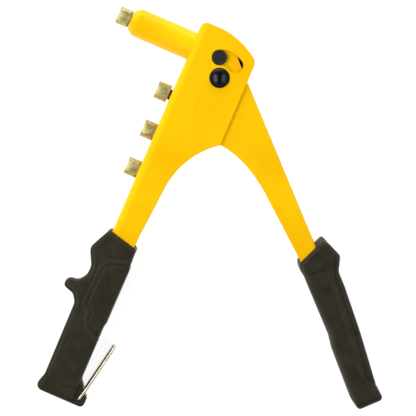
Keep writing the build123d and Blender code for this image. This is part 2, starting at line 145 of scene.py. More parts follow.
def rampOn(material, source, stops):
    ramp = addNode(material, "ShaderNodeValToRGB")
    elements = ramp.color_ramp.elements
    while len(elements) < len(stops):
        elements.new(0.5)
    for element, (position, color) in zip(elements, stops):
        element.position = position
        element.color = (*color, 1)
    join(material, source, ramp.inputs["Fac"])
    return ramp.outputs["Color"]


def rangeOn(material, source, low, high, fromLow=0.3, fromHigh=0.7):
    spread = addNode(
        material,
        "ShaderNodeMapRange",
        {"From Min": fromLow, "From Max": fromHigh, "To Min": low, "To Max": high},
    )
    join(material, source, spread.inputs["Value"])
    return spread.outputs["Result"]


def multiplyOn(material, first, second):
    mix = addNode(material, "ShaderNodeMix", data_type="RGBA", blend_type="MULTIPLY")
    mix.inputs["Factor"].default_value = 1
    join(material, first, mix.inputs["A"])
    join(material, second, mix.inputs["B"])
    return mix.outputs["Result"]


def bumpOn(material, shader, height, distance, strength=1.0, under=None):
    bump = addNode(material, "ShaderNodeBump", {"Distance": distance, "Strength": strength})
    join(material, height, bump.inputs["Height"])
    if under:
        join(material, under, bump.inputs["Normal"])
    join(material, bump.outputs["Normal"], shader.inputs["Normal"])
    return bump.outputs["Normal"]


# Glossy powder coat: a faint orange peel, and a hair of colour drift.
paintValues = {
    "deep": (0.93, 0.475, 0.0015),
    "full": (0.985, 0.575, 0.003),
    "sheen": (1.0, 0.8, 0.06),
    "roughness": (0.27, 0.4),
    "driftScale": 28,
    "peelScale": 900,
    "peelDepth": 0.000012,
    "grainScale": 6000,
    "shadeEnd": -197.0,  # the sheet is painted near-black below this: painted shade inside the grip's recess, where the latch goes through it
    "shadeTone": 0.02,
    "shadeFade": 0.0005,
}


def paintMaterial():
    values = paintValues
    material, shader = newMaterial("yellowPaint", values["full"], values["roughness"][0], specular=0.26)
    shader.inputs["Specular Tint"].default_value = (*values["sheen"], 1)
    drift = noiseOn(material, values["driftScale"], detail=2)
    tone = rampOn(material, drift, [(0.25, values["deep"]), (0.6, values["full"])])
    parts = addNode(material, "ShaderNodeSeparateXYZ")
    join(material, objectPlace(material), parts.inputs["Vector"])
    # Painted shade: the paint fades to near-black towards the sheet's end inside the grip, where the latch
    # goes through it.
    end = (pivot.y + values["shadeEnd"]) * mm
    start = end - values["shadeFade"]
    endShade = rangeOn(material, parts.outputs["Y"], values["shadeTone"], 1, fromLow=start, fromHigh=end)
    join(material, multiplyOn(material, tone, endShade), shader.inputs["Base Color"])
    grain = noiseOn(material, values["grainScale"], detail=2)
    join(material, rangeOn(material, grain, *values["roughness"]), shader.inputs["Roughness"])
    peel = noiseOn(material, values["peelScale"], detail=2)
    bumpOn(material, shader, peel, values["peelDepth"])
    return material


# Moulded grip plastic: olive black, spark-eroded grain, rubbed a little smoother in patches.
gripPlasticValues = {
    "dark": (0.0105, 0.0085, 0.0035),
    "light": (0.029, 0.0245, 0.013),
    "sheen": (1.0, 0.95, 0.84),
    "roughness": (0.4, 0.6),
    "patchScale": 90,
    "wearScale": 45,
    "grainScale": 1900,
    "grainDepth": 0.00006,
    "grainShade": (0.78, 0.78, 0.76),
    "moldScale": 260,
    "moldDepth": 0.00008,
    "tones": {"grooveShade": 0.1, "ridgeHighlight": 2.8},  # painted shade darkens the grooves, painted highlight lightens raised lines
}


def gripMaterial():
    values = gripPlasticValues
    material, shader = newMaterial("gripPlastic", values["dark"], 0.5, specular=0.24)
    shader.inputs["Specular Tint"].default_value = (*values["sheen"], 1)
    patches = noiseOn(material, values["patchScale"], detail=5, roughness=0.62)
    speckle = noiseOn(material, values["grainScale"], detail=3, roughness=0.6)
    tone = rampOn(material, patches, [(0.3, values["dark"]), (0.72, values["light"])])
    fine = rampOn(material, speckle, [(0.3, values["grainShade"]), (0.7, (1.0, 1.0, 1.0))])
    color = multiplyOn(material, tone, fine)
    # Painted shade in the grooves and painted highlight on the raised lines, from the layers that cutGroove
    # fills.
    for lineName, full in values["tones"].items():
        line = addNode(material, "ShaderNodeAttribute", attribute_name=lineName)
        share = rangeOn(material, line.outputs["Fac"], 1, full, fromLow=0, fromHigh=1)
        color = multiplyOn(material, color, share)
    join(material, color, shader.inputs["Base Color"])
    worn = noiseOn(material, values["wearScale"], detail=4)
    join(material, rangeOn(material, worn, *values["roughness"]), shader.inputs["Roughness"])
    flow = noiseOn(material, values["moldScale"], detail=2)
    low = bumpOn(material, shader, flow, values["moldDepth"], strength=0.5)
    bumpOn(material, shader, speckle, values["grainDepth"], under=low)
    return material


# Yellow zinc plate on turned steel: milky, mottled, with lathe lines.
zincValues = {
    "pale": (0.72, 0.65, 0.36),
    "warm": (0.58, 0.49, 0.17),
    "green": (0.46, 0.43, 0.17),
    "roughness": (0.26, 0.5),
    "mottleScale": 620,
    "fleckScale": 2600,
    "fleckShade": (0.72, 0.72, 0.7),
    "fleckDepth": 0.00003,
    "latheScale": 900,
    "latheDepth": 0.00002,
    "shadeDark": (0.16, 0.09, 0.03),
    "shadeLight": (0.36, 0.25, 0.11),
    "shadeScale": 700,
}


def zincMaterial():
    values = zincValues
    material, shader = newMaterial("yellowZinc", values["pale"], 0.38, metallic=0.8)
    mottle = noiseOn(material, values["mottleScale"], detail=6, roughness=0.68)
    stops = [(0.3, values["green"]), (0.47, values["warm"]), (0.62, values["pale"])]
    tone = rampOn(material, mottle, stops)
    fleck = noiseOn(material, values["fleckScale"], detail=3, roughness=0.7)
    light = rampOn(material, fleck, [(0.35, values["fleckShade"]), (0.62, (1.0, 1.0, 1.0))])
    join(material, multiplyOn(material, tone, light), shader.inputs["Base Color"])
    join(material, rangeOn(material, mottle, *values["roughness"]), shader.inputs["Roughness"])
    lathe = noiseOn(material, values["latheScale"], detail=2, stretch=(6, 0.4, 0.4))
    low = bumpOn(material, shader, lathe, values["latheDepth"])
    bumpOn(material, shader, fleck, values["fleckDepth"], under=low)
    return material


# Painted shade on the same plate: brown along a nosepiece's face rim, over the back of its head, where it
# sits against the barrel and the web, and over its thread.
def zincShadeMaterial():
    values = zincValues
    material, shader = newMaterial("zincShade", values["shadeLight"], 0.42, metallic=0.5)
    tint = noiseOn(material, values["shadeScale"], detail=4)
    tone = rampOn(material, tint, [(0.3, values["shadeDark"]), (0.7, values["shadeLight"])])
    join(material, tone, shader.inputs["Base Color"])
    return material


# Black finishes: the pivot's glossy heads, and oxide on the pull pin.
blackValues = {
    "gloss": (0.002, 0.002, 0.002),
    "glossRoughness": (0.18, 0.27),
    "hazeScale": 700,
    "hazeDepth": 0.000006,
    "satinDark": (0.009, 0.008, 0.008),
    "satinLight": (0.019, 0.017, 0.017),
    "satinRoughness": (0.32, 0.48),
    "oxideScale": 1500,
    "oxideDepth": 0.00002,
}


def blackGlossMaterial():
    values = blackValues
    material, shader = newMaterial("blackGloss", values["gloss"], 0.2, specular=0.3)
    haze = noiseOn(material, values["hazeScale"], detail=3)
    join(material, rangeOn(material, haze, *values["glossRoughness"]), shader.inputs["Roughness"])
    bumpOn(material, shader, haze, values["hazeDepth"])
    return material


def blackSatinMaterial():
    values = blackValues
    material, shader = newMaterial("blackSatin", values["satinLight"], 0.4, specular=0.32)
    oxide = noiseOn(material, values["oxideScale"], detail=4, roughness=0.6)
    tone = rampOn(material, oxide, [(0.3, values["satinDark"]), (0.7, values["satinLight"])])
    join(material, tone, shader.inputs["Base Color"])
    join(material, rangeOn(material, oxide, *values["satinRoughness"]), shader.inputs["Roughness"])
    bumpOn(material, shader, oxide, values["oxideDepth"])
    return material


# Steel with fine lines drawn one way. The stretch says which way: a low number along the lines.
steelValues = {
    "brightWire": {
        "dark": (0.55, 0.5, 0.36),
        "light": (0.8, 0.75, 0.58),
        "roughness": 0.22,
        "lineScale": 350,
        "stretch": (1, 1, 1),
    },
    "turnedSteel": {
        "dark": (0.27, 0.27, 0.28),
        "light": (0.5, 0.5, 0.5),
        "roughness": 0.3,
        "lineScale": 1200,
        "stretch": (5, 0.5, 0.5),
    },
    "hardSteel": {
        "dark": (0.12, 0.12, 0.13),
        "light": (0.3, 0.3, 0.32),
        "roughness": 0.36,
        "lineScale": 1500,
        "stretch": (1, 1, 1),
    },
    "springSteel": {
        "dark": (0.18, 0.18, 0.19),
        "light": (0.42, 0.42, 0.43),
        "roughness": 0.28,
        "lineScale": 2500,
        "stretch": (1, 1, 1),
    },
}


def steelMaterial(name):
    values = steelValues[name]
    roughness, cloudScale, lineDepth = values["roughness"], 160, 0.000012
    material, shader = newMaterial(name, values["light"], roughness, metallic=1.0)
    lines = noiseOn(
        material, values["lineScale"], detail=4, roughness=0.6, stretch=values["stretch"]
    )
    clouds = noiseOn(material, cloudScale, detail=4)
    tone = rampOn(material, lines, [(0.25, values["dark"]), (0.7, values["light"])])
    shade = rampOn(material, clouds, [(0.3, (0.8, 0.8, 0.8)), (0.7, (1.0, 1.0, 1.0))])
    join(material, multiplyOn(material, tone, shade), shader.inputs["Base Color"])
    streaks = rangeOn(material, lines, roughness * 0.8, roughness * 1.25)
    join(material, streaks, shader.inputs["Roughness"])
    bumpOn(material, shader, lines, lineDepth)
    return material


yellowPaint = paintMaterial()
gripPlastic = gripMaterial()
yellowZinc = zincMaterial()
zincShade = zincShadeMaterial()
blackGloss = blackGlossMaterial()
blackSatin = blackSatinMaterial()
brightWire = steelMaterial("brightWire")
turnedSteel = steelMaterial("turnedSteel")
hardSteel = steelMaterial("hardSteel")
springSteel = steelMaterial("springSteel")
print("materials made")


# A finished piece in metres, standing for one CAD node.
def addPiece(bm, name, materials, body, node, sharpAngle=35, evenShading=False):
    bmesh.ops.scale(bm, vec=(mm, mm, mm), verts=bm.verts)
    mesh = bpy.data.meshes.new(name)
    bm.to_mesh(mesh)
    bm.free()
    for material in materials:
        mesh.materials.append(material)
    mesh.shade_smooth()
    mesh.set_sharp_from_angle(angle=radians(sharpAngle))
    piece = bpy.data.objects.new(name, mesh)
    bpy.context.scene.collection.objects.link(piece)
    if evenShading:
        piece.modifiers.new("evenShading", "WEIGHTED_NORMAL").keep_sharp = True
    if body:
        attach(piece, body)
    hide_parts(node)
    print("made", name, len(mesh.polygons), "faces")
    return piece


# A merged copy of a node's mesh, in millimetres. Flattening makes its flat faces whole again.
def copyOfNode(node, flatten=True):
    bm = bmesh.new()
    bm.from_mesh(nodes[node].data)
    bmesh.ops.scale(bm, vec=(1 / mm, 1 / mm, 1 / mm), verts=bm.verts)
    bmesh.ops.remove_doubles(bm, verts=bm.verts, dist=0.004)
    if flatten:
        bmesh.ops.dissolve_limit(
            bm,
            angle_limit=radians(0.6),
            use_dissolve_boundaries=False,
            verts=bm.verts,
            edges=bm.edges,
            delimit={"NORMAL"},
        )
    return bm


def roundEdges(bm, width, angle=30, segments=2, choose=None):
    sharp = [
        edge
        for edge in bm.edges
        if edge.is_manifold
        and edge.calc_face_angle(0) > radians(angle)
        and (choose is None or choose(edge))
    ]
    bmesh.ops.bevel(
        bm,
        geom=sharp,
        offset=width,
        offset_type="OFFSET",
        segments=segments,
        profile=0.5,
        affect="EDGES",
        clamp_overlap=True,
        material=-1,
    )


# A shape turned about the X axis through `center` from (distance along X, radius) points.
def turnProfile(bm, points, center, steps=96, closed=True):
    ring = [bm.verts.new((center.x + along, center.y + radius, center.z)) for along, radius in points]
    edges = [bm.edges.new(pair) for pair in zip(ring, ring[1:])]
    if closed:
        edges.append(bm.edges.new((ring[-1], ring[0])))
    bmesh.ops.spin(
        bm,
        geom=ring + edges,
        cent=center,
        axis=(1, 0, 0),
        angle=2 * pi,
        steps=steps,
        use_merge=True,
    )
    bmesh.ops.remove_doubles(bm, verts=bm.verts, dist=0.0005)
    bmesh.ops.recalc_face_normals(bm, faces=bm.faces)


# Fixed handle and lever: folded, painted sheet.
frameSheet = {
    "edge": 0.3,
    "creaseX": -7.4,
    "creaseTop": -10.5,
    "creaseEnd": -44.0,
    "creaseWidth": 1.1,
    "creaseTaper": 3.0,
    "creaseRise": 0.18,
    "bend": 3.0,
    "bendShown": 4.4,  # the outer skin is drawn thinner round the bend
    "corner": 4.0,
}


# The pressed line down each cheek: a low ridge, tapered at both ends.
def pressCrease(bm, side):
    cheek = side * highOf("frame").z
    x, top, end = frameSheet["creaseX"], frameSheet["creaseTop"], frameSheet["creaseEnd"]
    half, taper = frameSheet["creaseWidth"] / 2, frameSheet["creaseTaper"]

    def cheekGeometry():
        flat = [f for f in bm.faces if abs(f.calc_center_median().z - cheek) < 0.01]
        return flat + list({e for f in flat for e in f.edges} | {v for f in flat for v in f.verts})

    cuts = [((x + shift, 0, 0), (1, 0, 0)) for shift in (-half, 0, half)]
    cuts += [((0, y, 0), (0, 1, 0)) for y in (top, top - taper, end + taper, end)]
    for place, normal in cuts:
        bmesh.ops.bisect_plane(
            bm, geom=cheekGeometry(), plane_co=pivot + Vector(place), plane_no=normal
        )
    for vert in bm.verts:
        local = vert.co - pivot
        onLine = abs(local.x - x) < 0.01 and abs(vert.co.z - cheek) < 0.01
        if onLine and end + taper - 0.01 < local.y < top - taper + 0.01:
            vert.co.z += side * frameSheet["creaseRise"]


# Opens the outer radius between the web and the cheeks, where the press drew the sheet.
def widenBend(bm):
    face, cheek = lowOf("frame").x, highOf("frame").z
    bend, shown, corner = (frameSheet[key] for key in ("bend", "bendShown", "corner"))
    cornerLow = max(vert.co.y for vert in bm.verts if vert.co.x - face < 0.01)

    def cornerRise(inward):
        return sqrt(corner**2 - max(corner - inward, 0) ** 2)

    for vert in bm.verts:
        inward, under = vert.co.x - face, cheek - abs(vert.co.z)
        onSkin = abs(hypot(bend - inward, bend - under) - bend) < 0.02
        if onSkin and max(inward, under) < bend + 0.01:
            if vert.co.y > cornerLow - 0.01:
                vert.co.y += cornerRise(inward * shown / bend) - cornerRise(inward)
            vert.co.x = face + inward * shown / bend
            vert.co.z = copysign(cheek - under * shown / bend, vert.co.z)
        elif inward < 0.01 and under < shown:
            vert.co.z = copysign(cheek - shown, vert.co.z)
        elif under < 0.01 and inward < shown:
            vert.co.x = face + shown
    bmesh.ops.remove_doubles(bm, verts=bm.verts, dist=0.004)


def makeFrame():
    bm = copyOfNode("frame")
    widenBend(bm)
    for side in (1, -1):
        pressCrease(bm, side)
    roundEdges(bm, frameSheet["edge"], segments=3)
    addPiece(
        bm, "foldedFrame", [yellowPaint], "root", "frame", evenShading=True
    )


leverSheet = {
    "headRadius": 18.6,
    "cornerFrom": 40,
    "cornerTo": 59,
    "cornerTurn": -7.0,  # degrees: the round head ends lower, so that its back leans out
}


def makeLever():
    bm = copyOfNode("lever")
    place, shape = handleSpace(leverTurn), leverSheet
    for vert in bm.verts:
        local = place.inverted() @ vert.co
        onHead = abs(hypot(local.x, local.y) - shape["headRadius"]) < 0.05
        if onHead and shape["cornerFrom"] < degrees(atan2(local.y, local.x)) < shape["cornerTo"]:
            vert.co = place @ (Matrix.Rotation(radians(shape["cornerTurn"]), 4, "Z") @ local)
    roundEdges(bm, frameSheet["edge"], segments=3)
    addPiece(
        bm, "foldedLever", [yellowPaint], "lever", "lever", evenShading=True
    )


makeFrame()
makeLever()


barrelShape = {
    "tip": 5.0,
    "tipRound": [(0, 0.3), (0.18, 0.7), (0.6, 1.25)],  # back from the tip, out from its radius
    "shoulder": 4.3,
    "cone": [(0.42, 1.55), (0.68, 0.68), (0.86, 0.25), (1.02, 0.06), (1.2, 0)],
    "collar": 0.35,
    "seat": 1.35,  # how far the collar's skirt reaches round the web's bends
    "thread": 3.55,
    "threadDepth": 5.0,
    "bore": 5.5,
    "spigot": 6.6,
    "chamfer": 0.3,
}


def makeBarrel():
    shape = barrelShape
    front, back, radius = lowOf("barrel").x, highOf("barrel").x, highOf("barrel").y
    web, seat = lowOf("frame").x, lowOf("frame").x + shape["seat"]
    chamfer, skirt = shape["chamfer"], radius + shape["collar"] / 2
    thread, bore, spigot = shape["thread"], shape["bore"], shape["spigot"]
    points = [(front, thread + chamfer)]
    points += [(front + along, shape["tip"] + out) for along, out in shape["tipRound"]]
    # The cone's points: a share of the shoulder's length, and how far in from the full radius.
    points += [(front + shape["shoulder"] * share, radius - under) for share, under in shape["cone"]]
    points += [(web - shape["collar"], radius), (web, skirt), (seat, skirt), (seat, spigot)]
    points += [(back - chamfer, spigot), (back, spigot - chamfer), (back, bore)]
    points += [(front + shape["threadDepth"], bore), (front + shape["threadDepth"], thread)]
    points += [(front + chamfer, thread)]
    bm = bmesh.new()
    turnProfile(bm, points, Vector((0, 0, 0)), steps=112)
    addPiece(bm, "barrelTube", [yellowPaint], "root", "barrel", sharpAngle=32)


makeBarrel()


nosepieceShape = {
    "head": 7.8,
    "headRadius": 5.4,
    "faceRound": [(0, 0.5), (0.12, 0.2), (0.45, 0)],  # back from the face, in from the radius
    "backRound": [(0.6, 0), (0.22, 0.16), (0, 0.6)],
    "flats": 8.4,
    "flatEdge": 0.14,
    "threadRadius": 3.45,
    "rootRadius": 3.02,
    "pitch": 1.0,
    "crest": (0.42, 0.54),  # shares of the pitch
    "ribWidth": 0.96,
    "ribRoot": 0.12,
    "threadGap": 0.1,
    "threadStop": 0.7,
    "leadIn": 1.0,
    "endRadius": 2.3,
    "boreEdge": 0.25,
    "bores": {
        "nosepiece_fitted": 1.05,
        "spare_nosepiece_1": 0.8,
        "spare_nosepiece_2": 1.25,
        "spare_nosepiece_3": 1.5,
    },
    "shadedBack": 0.62,  # how far from the head's back the plate is painted brown, as painted shade against the barrel and the web
    "shadedFace": (0.4, 0.9),  # and round its face: back from it, in from the rim
}


# A thread's rib wound round the stem: its section spun while it moves along the axis.
def windThread(bm, start, stop, center):
    shape, steps = nosepieceShape, 36
    pitch, crest = shape["pitch"], shape["threadRadius"]
    root, (crestFrom, crestTo) = shape["rootRadius"] - shape["ribRoot"], shape["crest"]
    section = [(0, root), (crestFrom, crest), (crestTo, crest), (shape["ribWidth"], root)]
    ring = [
        bm.verts.new((start + share * pitch, center.y + radius, center.z))
        for share, radius in section
    ]
    edges = [bm.edges.new(pair) for pair in zip(ring, ring[1:] + ring[:1])]
    count = round(steps * (stop - start - pitch) / pitch)
    bmesh.ops.spin(
        bm,
        geom=ring + edges,
        cent=center,
        axis=(1, 0, 0),
        dvec=(pitch / steps, 0, 0),
        angle=2 * pi * count / steps,
        steps=count,
    )


def cutFlats(bm):
    for side in (1, -1):
        cut = bmesh.ops.bisect_plane(
            bm,
            geom=bm.verts[:] + bm.edges[:] + bm.faces[:],
            plane_co=(0, 0, side * nosepieceShape["flats"] / 2),
            plane_no=(0, 0, side),
            clear_outer=True,
        )
        rim = [item for item in cut["geom_cut"] if isinstance(item, bmesh.types.BMEdge)]
        bmesh.ops.holes_fill(bm, edges=rim)
    bm.normal_update()

    def roundsFlat(edge):
        return any(abs(f.normal.z) > 0.999 for f in edge.link_faces)

    roundEdges(bm, nosepieceShape["flatEdge"], angle=12, choose=roundsFlat)


def makeNosepiece(name, node, body):
    shape = nosepieceShape
    center = Vector((0, middleOf(node).y, 0))
    face, end = lowOf(node).x, highOf(node).x
    back, bore, edge = face + shape["head"], shape["bores"][node], shape["boreEdge"]
    radius, root = shape["headRadius"], shape["rootRadius"]
    points = [(face + edge, bore), (face, bore + edge)]
    points += [(face + along, radius - under) for along, under in shape["faceRound"]]
    points += [(back - along, radius - under) for along, under in shape["backRound"]]
    points += [(back, root), (end - shape["leadIn"], root), (end, shape["endRadius"])]
    points += [(end, bore + edge), (end - edge, bore)]
    bm = bmesh.new()
    turnProfile(bm, points, center, steps=72)
    cutFlats(bm)
    windThread(bm, back + shape["threadGap"], end - shape["threadStop"], center)
    bmesh.ops.holes_fill(bm, edges=[e for e in bm.edges if e.is_boundary])
    bmesh.ops.recalc_face_normals(bm, faces=bm.faces)
    # Painted shade: the face's rim, the head's back and the thread take the darker brown plate.
    shadeDepth, shadeWidth = shape["shadedFace"]
    for f in bm.faces:
        middle = f.calc_center_median()
        across = hypot(middle.y - center.y, middle.z)
        onRim = middle.x < face + shadeDepth and across > radius - shadeWidth
        f.material_index = 1 if onRim or middle.x > back - shape["shadedBack"] else 0
    addPiece(bm, name, [yellowZinc, zincShade], body, node, sharpAngle=28)


makeNosepiece("fittedNosepiece", "nosepiece_fitted", "nosepiece")
for number in (1, 2, 3):
    makeNosepiece(f"spareNosepiece{number}", f"spare_nosepiece_{number}", f"spare_{number}")


pinHeads = {
    "domeRadius": 6.05,
    "domeRise": 2.5,
    "rimRise": 0.55,
    "rimWidth": 0.55,
    "rimEdge": 0.12,
    "rimFoot": 0.15,
    "domeGap": 0.08,  # the groove between the rim and the dome
    "discRadius": 4.5,
    "discRise": 2.5,
    "discFoot": 0.1,
    # Down from the top, and in from the radius.
    "discFace": [(0.55, 0), (0.22, 0.1), (0.05, 0.33), (0, 0.62), (0.02, 0.8), (0.14, 0.98), (0.16, 1.3)],
    "discMiddle": 0.12,  # the flat middle lies this far under the rim
    "capHole": [(0.14, 0.15), (0.2, 0)],  # down from the cap's top, and out from its hole
    "shankRadius": 3.0,
    "tailRadius": 2.0,
    "tailEdge": 0.2,
    "tailGap": 0.05,
}


# Points of a domed head from its rim to its top: (height, radius).
def domePoints(radius, low, high, count=9):
    rise = high - low
    curve = (radius**2 + rise**2) / (2 * rise)
    reach = asin(radius / curve)
    turns = [reach * (1 - step / count) for step in range(count)]
    return [(high - curve * (1 - cos(turn)), curve * sin(turn)) for turn in turns] + [(high, 0)]


# A shape turned about the X axis, then stood upright so that X becomes Z.
def uprightPiece(name, profile, center, material, body, node):
    bm = bmesh.new()
    turnProfile(bm, profile, Vector((0, 0, 0)), closed=False)
    upright = Matrix.Translation(center) @ Matrix.Rotation(radians(-90), 4, "Y")
    bmesh.ops.transform(bm, matrix=upright, verts=bm.verts)
    bmesh.ops.recalc_face_normals(bm, faces=bm.faces)
    addPiece(bm, name, [material], body, node, sharpAngle=30)


def domeProfile(base, side):
    shape = pinHeads
    radius, width = shape["domeRadius"], shape["rimWidth"]
    rim, edge = shape["rimRise"], shape["rimEdge"]
    heights = [(0, radius - shape["rimFoot"]), (edge, radius), (rim, radius)]
    heights += [(rim + edge, radius - edge), (rim + edge, radius - width)]
    heights += domePoints(radius - width - shape["domeGap"], rim, shape["domeRise"])
    return [(base + side * height, across) for height, across in heights]


# A flat head with a low rolled rim.
def discProfile(base):
    radius, rise, foot = (pinHeads[key] for key in ("discRadius", "discRise", "discFoot"))
    heights = [(0, radius - foot), (foot, radius)]
    heights += [(rise - under, radius - inward) for under, inward in pinHeads["discFace"]]
    heights += [(rise - pinHeads["discMiddle"], 0)]
    return [(base + height, across) for height, across in heights]


# The pin below its head: a thinner tail, which its cap is pressed on, and the shank.
def shankProfile(tail, low, high):
    radius, thin, edge = (pinHeads[key] for key in ("shankRadius", "tailRadius", "tailEdge"))
    return [(tail, 0), (tail, thin - edge), (tail + edge, thin), (low, thin), (low, radius), (high, radius)]


def makePins():
    gap, hole = pinHeads["tailGap"], pinHeads["tailRadius"] + pinHeads["tailGap"]
    middle = Vector((pivot.x, pivot.y, 0))
    tail, cheek = lowOf("pivot_pin").z, highOf("pivot_pin").z - pinHeads["domeRise"]
    dome = shankProfile(tail, -cheek, cheek) + domeProfile(cheek, 1)
    uprightPiece("pivotPinDomed", dome, middle, blackGloss, "root", "pivot_pin")
    cap = [(tail - gap, 0), (tail - gap, hole), (-cheek, hole)] + domeProfile(-cheek, -1)
    uprightPiece("pivotCapDomed", cap, middle, blackGloss, "root", "pivot_cap")

    middle = middleOf("pull_pin")
    middle.z = 0
    tail, top = lowOf("pull_pin").z, highOf("pull_pin").z
    base = top - pinHeads["discRise"]
    disc = shankProfile(tail, -base, base) + discProfile(base)
    uprightPiece("pullPinTurned", disc, middle, blackSatin, "lever", "pull_pin")
    # The far cap is the same disc with a hole through it, turned over.
    mouth = [(top - under, hole + out) for under, out in pinHeads["capHole"]]
    ring = [(base, hole), *discProfile(base)[:-1], *mouth, (base, hole)]
    cap = [(-height, across) for height, across in ring]
    uprightPiece("pullPinCapTurned", cap, middle, blackSatin, "lever", "pull_pin_cap")


makePins()


# The grips are moulded sleeves, remeshed from their solids and cut with their panel lines.


# A tall thin wall through these points, to measure sideways distances from.
def pathWall(points, closed=False):
    height = 80
    bm = bmesh.new()
    ring = [bm.verts.new((x, y, -height / 2)) for x, y in points]
    pairs = list(zip(ring, ring[1:])) + ([(ring[-1], ring[0])] if closed else [])
    edges = [bm.edges.new(pair) for pair in pairs]
    raised = bmesh.ops.extrude_edge_only(bm, edges=edges)["geom"]
    top = [item for item in raised if isinstance(item, bmesh.types.BMVert)]
    bmesh.ops.translate(bm, vec=(0, 0, height), verts=top)
    wall = BVHTree.FromBMesh(bm)
    bm.free()
    return wall


def smoothShare(value):
    value = min(max(value, 0.0), 1.0)
    return value * value * (3 - 2 * value)


def isInside(x, y, points):
    inside = False
    for (x1, y1), (x2, y2) in zip(points, points[1:] + points[:1]):
        if (y1 > y) != (y2 > y) and x < (x2 - x1) * (y - y1) / (y2 - y1) + x1:
            inside = not inside
    return inside


# A rounded groove, or a ridge if its depth is negative, along a path over the outer skin. Its painted
# shade and painted highlight, from 0 to 1, say how much it darkens or lightens the plastic.
def cutGroove(skin, tones, line):
    wall = pathWall(line["points"])
    for vert in skin:
        if abs(vert.co.z) < line.get("lowest", 0):
            continue
        distance = wall.find_nearest(vert.co, line["width"])[3]
        if distance is not None:
            near = smoothShare(1 - distance / line["width"])
            vert.co -= vert.normal * line["depth"] * near
            for tone, layer in tones.items():
                vert[layer] = max(vert[layer], line.get(tone, 0) * near)


# Tilts the mouth of a sleeve: its near rim lies lower than its far rim.
def tiltMouth(bm, mouth):
    (x1, y1), (x2, y2) = mouth["rim"]
    for vert in bm.verts:
        below = y1 + (vert.co.x - x1) * (y2 - y1) / (x2 - x1) - vert.co.y
        share = smoothShare(1 - below / mouth["reach"])
        side = smoothShare(abs(vert.co.z) / mouth["fullAt"])
        vert.co.y += share * side * (mouth["far"] if vert.co.z < 0 else -mouth["near"])


# Sinks the flat faces everywhere outside a panel, so that the panel stands proud.
def raisePanel(skin, points, depth, step):
    wall = pathWall(points, closed=True)
    for vert in skin:
        if isInside(vert.co.x, vert.co.y, points):
            continue
        distance = wall.find_nearest(vert.co, step)[3]
        share = 1.0 if distance is None else smoothShare(distance / step)
        upright = abs(vert.normal.z)
        if upright > 0.3:
            vert.co.z -= (1 if vert.co.z > 0 else -1) * depth * share * upright


def remeshed(bm, voxel):
    mesh = bpy.data.meshes.new("roughSleeve")
    bm.to_mesh(mesh)
    bm.free()
    rough = bpy.data.objects.new("roughSleeve", mesh)
    bpy.context.scene.collection.objects.link(rough)
    remesh = rough.modifiers.new("remesh", "REMESH")
    remesh.mode = "VOXEL"
    remesh.voxel_size = voxel
    view = bpy.context.evaluated_depsgraph_get()
    view.update()
    dense = bpy.data.meshes.new_from_object(rough.evaluated_get(view))
    bm = bmesh.new()
    bm.from_mesh(dense)
    for used in (mesh, dense):
        bpy.data.meshes.remove(used)
    return bm


# A grip's solid in its handle's own space, remeshed and smoothed, with a layer for each tone.
def sleeveOf(node, place, voxel):
    bm = copyOfNode(node, flatten=False)
    bmesh.ops.transform(bm, matrix=place.inverted(), verts=bm.verts)
    bm = remeshed(bm, voxel)
    for _ in range(2):
        bmesh.ops.smooth_vert(
            bm, verts=bm.verts, factor=0.5, use_axis_x=True, use_axis_y=True, use_axis_z=True
        )
    bm.normal_update()
    return bm, {tone: bm.verts.layers.float.new(tone) for tone in gripPlasticValues["tones"]}


fixedGripShape = {
    "voxel": 0.5,
    "pocketX": (-23.0, -6.7),
    "pocketZ": 10.35,
    "pocketEnd": -213,
    "earTop": -198,  # below this the pocket reaches out to the latch's ears
    "earX": 1.7,
    "panelDepth": 0.45,
    "panelStep": 0.9,
    "mouth": {"rim": ((-24.2, -108.6), (-4.0, -122.0)), "reach": 7, "fullAt": 6, "near": 0.6, "far": 0.8},
    "panel": {
        "width": 0.9,
        "depth": 0.5,
        "grooveShade": 0.9,
        "lowest": 1,
        "points": [
            (2.0, -123.6),
            (-5.6, -124.3),
            (-15.4, -127.7),
            (-17.7, -129.5),
            (-19.0, -131.6),
            (-19.1, -144.7),
            (-19.3, -155.1),
            (-16.6, -156.8),
            (-15.0, -159.0),
            (-14.6, -163.9),
            (-12.7, -166.7),
            (-6.3, -170.7),
            (2.0, -173.0),
        ],
    },
    "outerLine": {
        "width": 1.7,
        "depth": -0.12,
        "ridgeHighlight": 0.3,
        "lowest": 6,
        "points": [
            (2.0, -121.8),
            (-6.0, -122.4),
            (-16.0, -126.0),
            (-19.0, -128.4),
            (-20.7, -131.2),
            (-20.9, -144.7),
            (-21.1, -156.3),
            (-18.0, -158.2),
            (-16.7, -160.2),
            (-16.3, -164.6),
            (-13.8, -168.2),
            (-6.6, -172.6),
            (2.0, -175.0),
        ],
    },
    "collar": {
        "width": 0.9,
        "depth": -0.15,
        "ridgeHighlight": 0.3,
        "points": [(-27.0, -109.6), (-24.0, -110.5), (-3.0, -115.6)],
    },
    "heel": {
        "width": 0.9,
        "depth": 0.25,
        "grooveShade": 0.5,
        "lowest": 3,
        "points": [(-30.0, -203.0), (-14.0, -206.2), (-5.0, -204.0)],
    },
}


def makeFixedGrip():
    shape, place = fixedGripShape, handleSpace()
    bm, tones = sleeveOf("fixed_grip", place, shape["voxel"])

    def inPocket(co):
        left, right = shape["pocketX"]
        if co.y < shape["earTop"]:
            right = shape["earX"]
        return left < co.x < right and abs(co.z) < shape["pocketZ"] and co.y > shape["pocketEnd"]

    skin = [vert for vert in bm.verts if not inPocket(vert.co)]
    raisePanel(skin, shape["panel"]["points"], shape["panelDepth"], shape["panelStep"])
    bm.normal_update()
    for line in ("panel", "outerLine", "collar", "heel"):
        cutGroove(skin, tones, shape[line])
    tiltMouth(bm, shape["mouth"])
    bmesh.ops.transform(bm, matrix=place, verts=bm.verts)
    addPiece(
        bm, "fixedGripMolded", [gripPlastic], "root", "fixed_grip", sharpAngle=60
    )


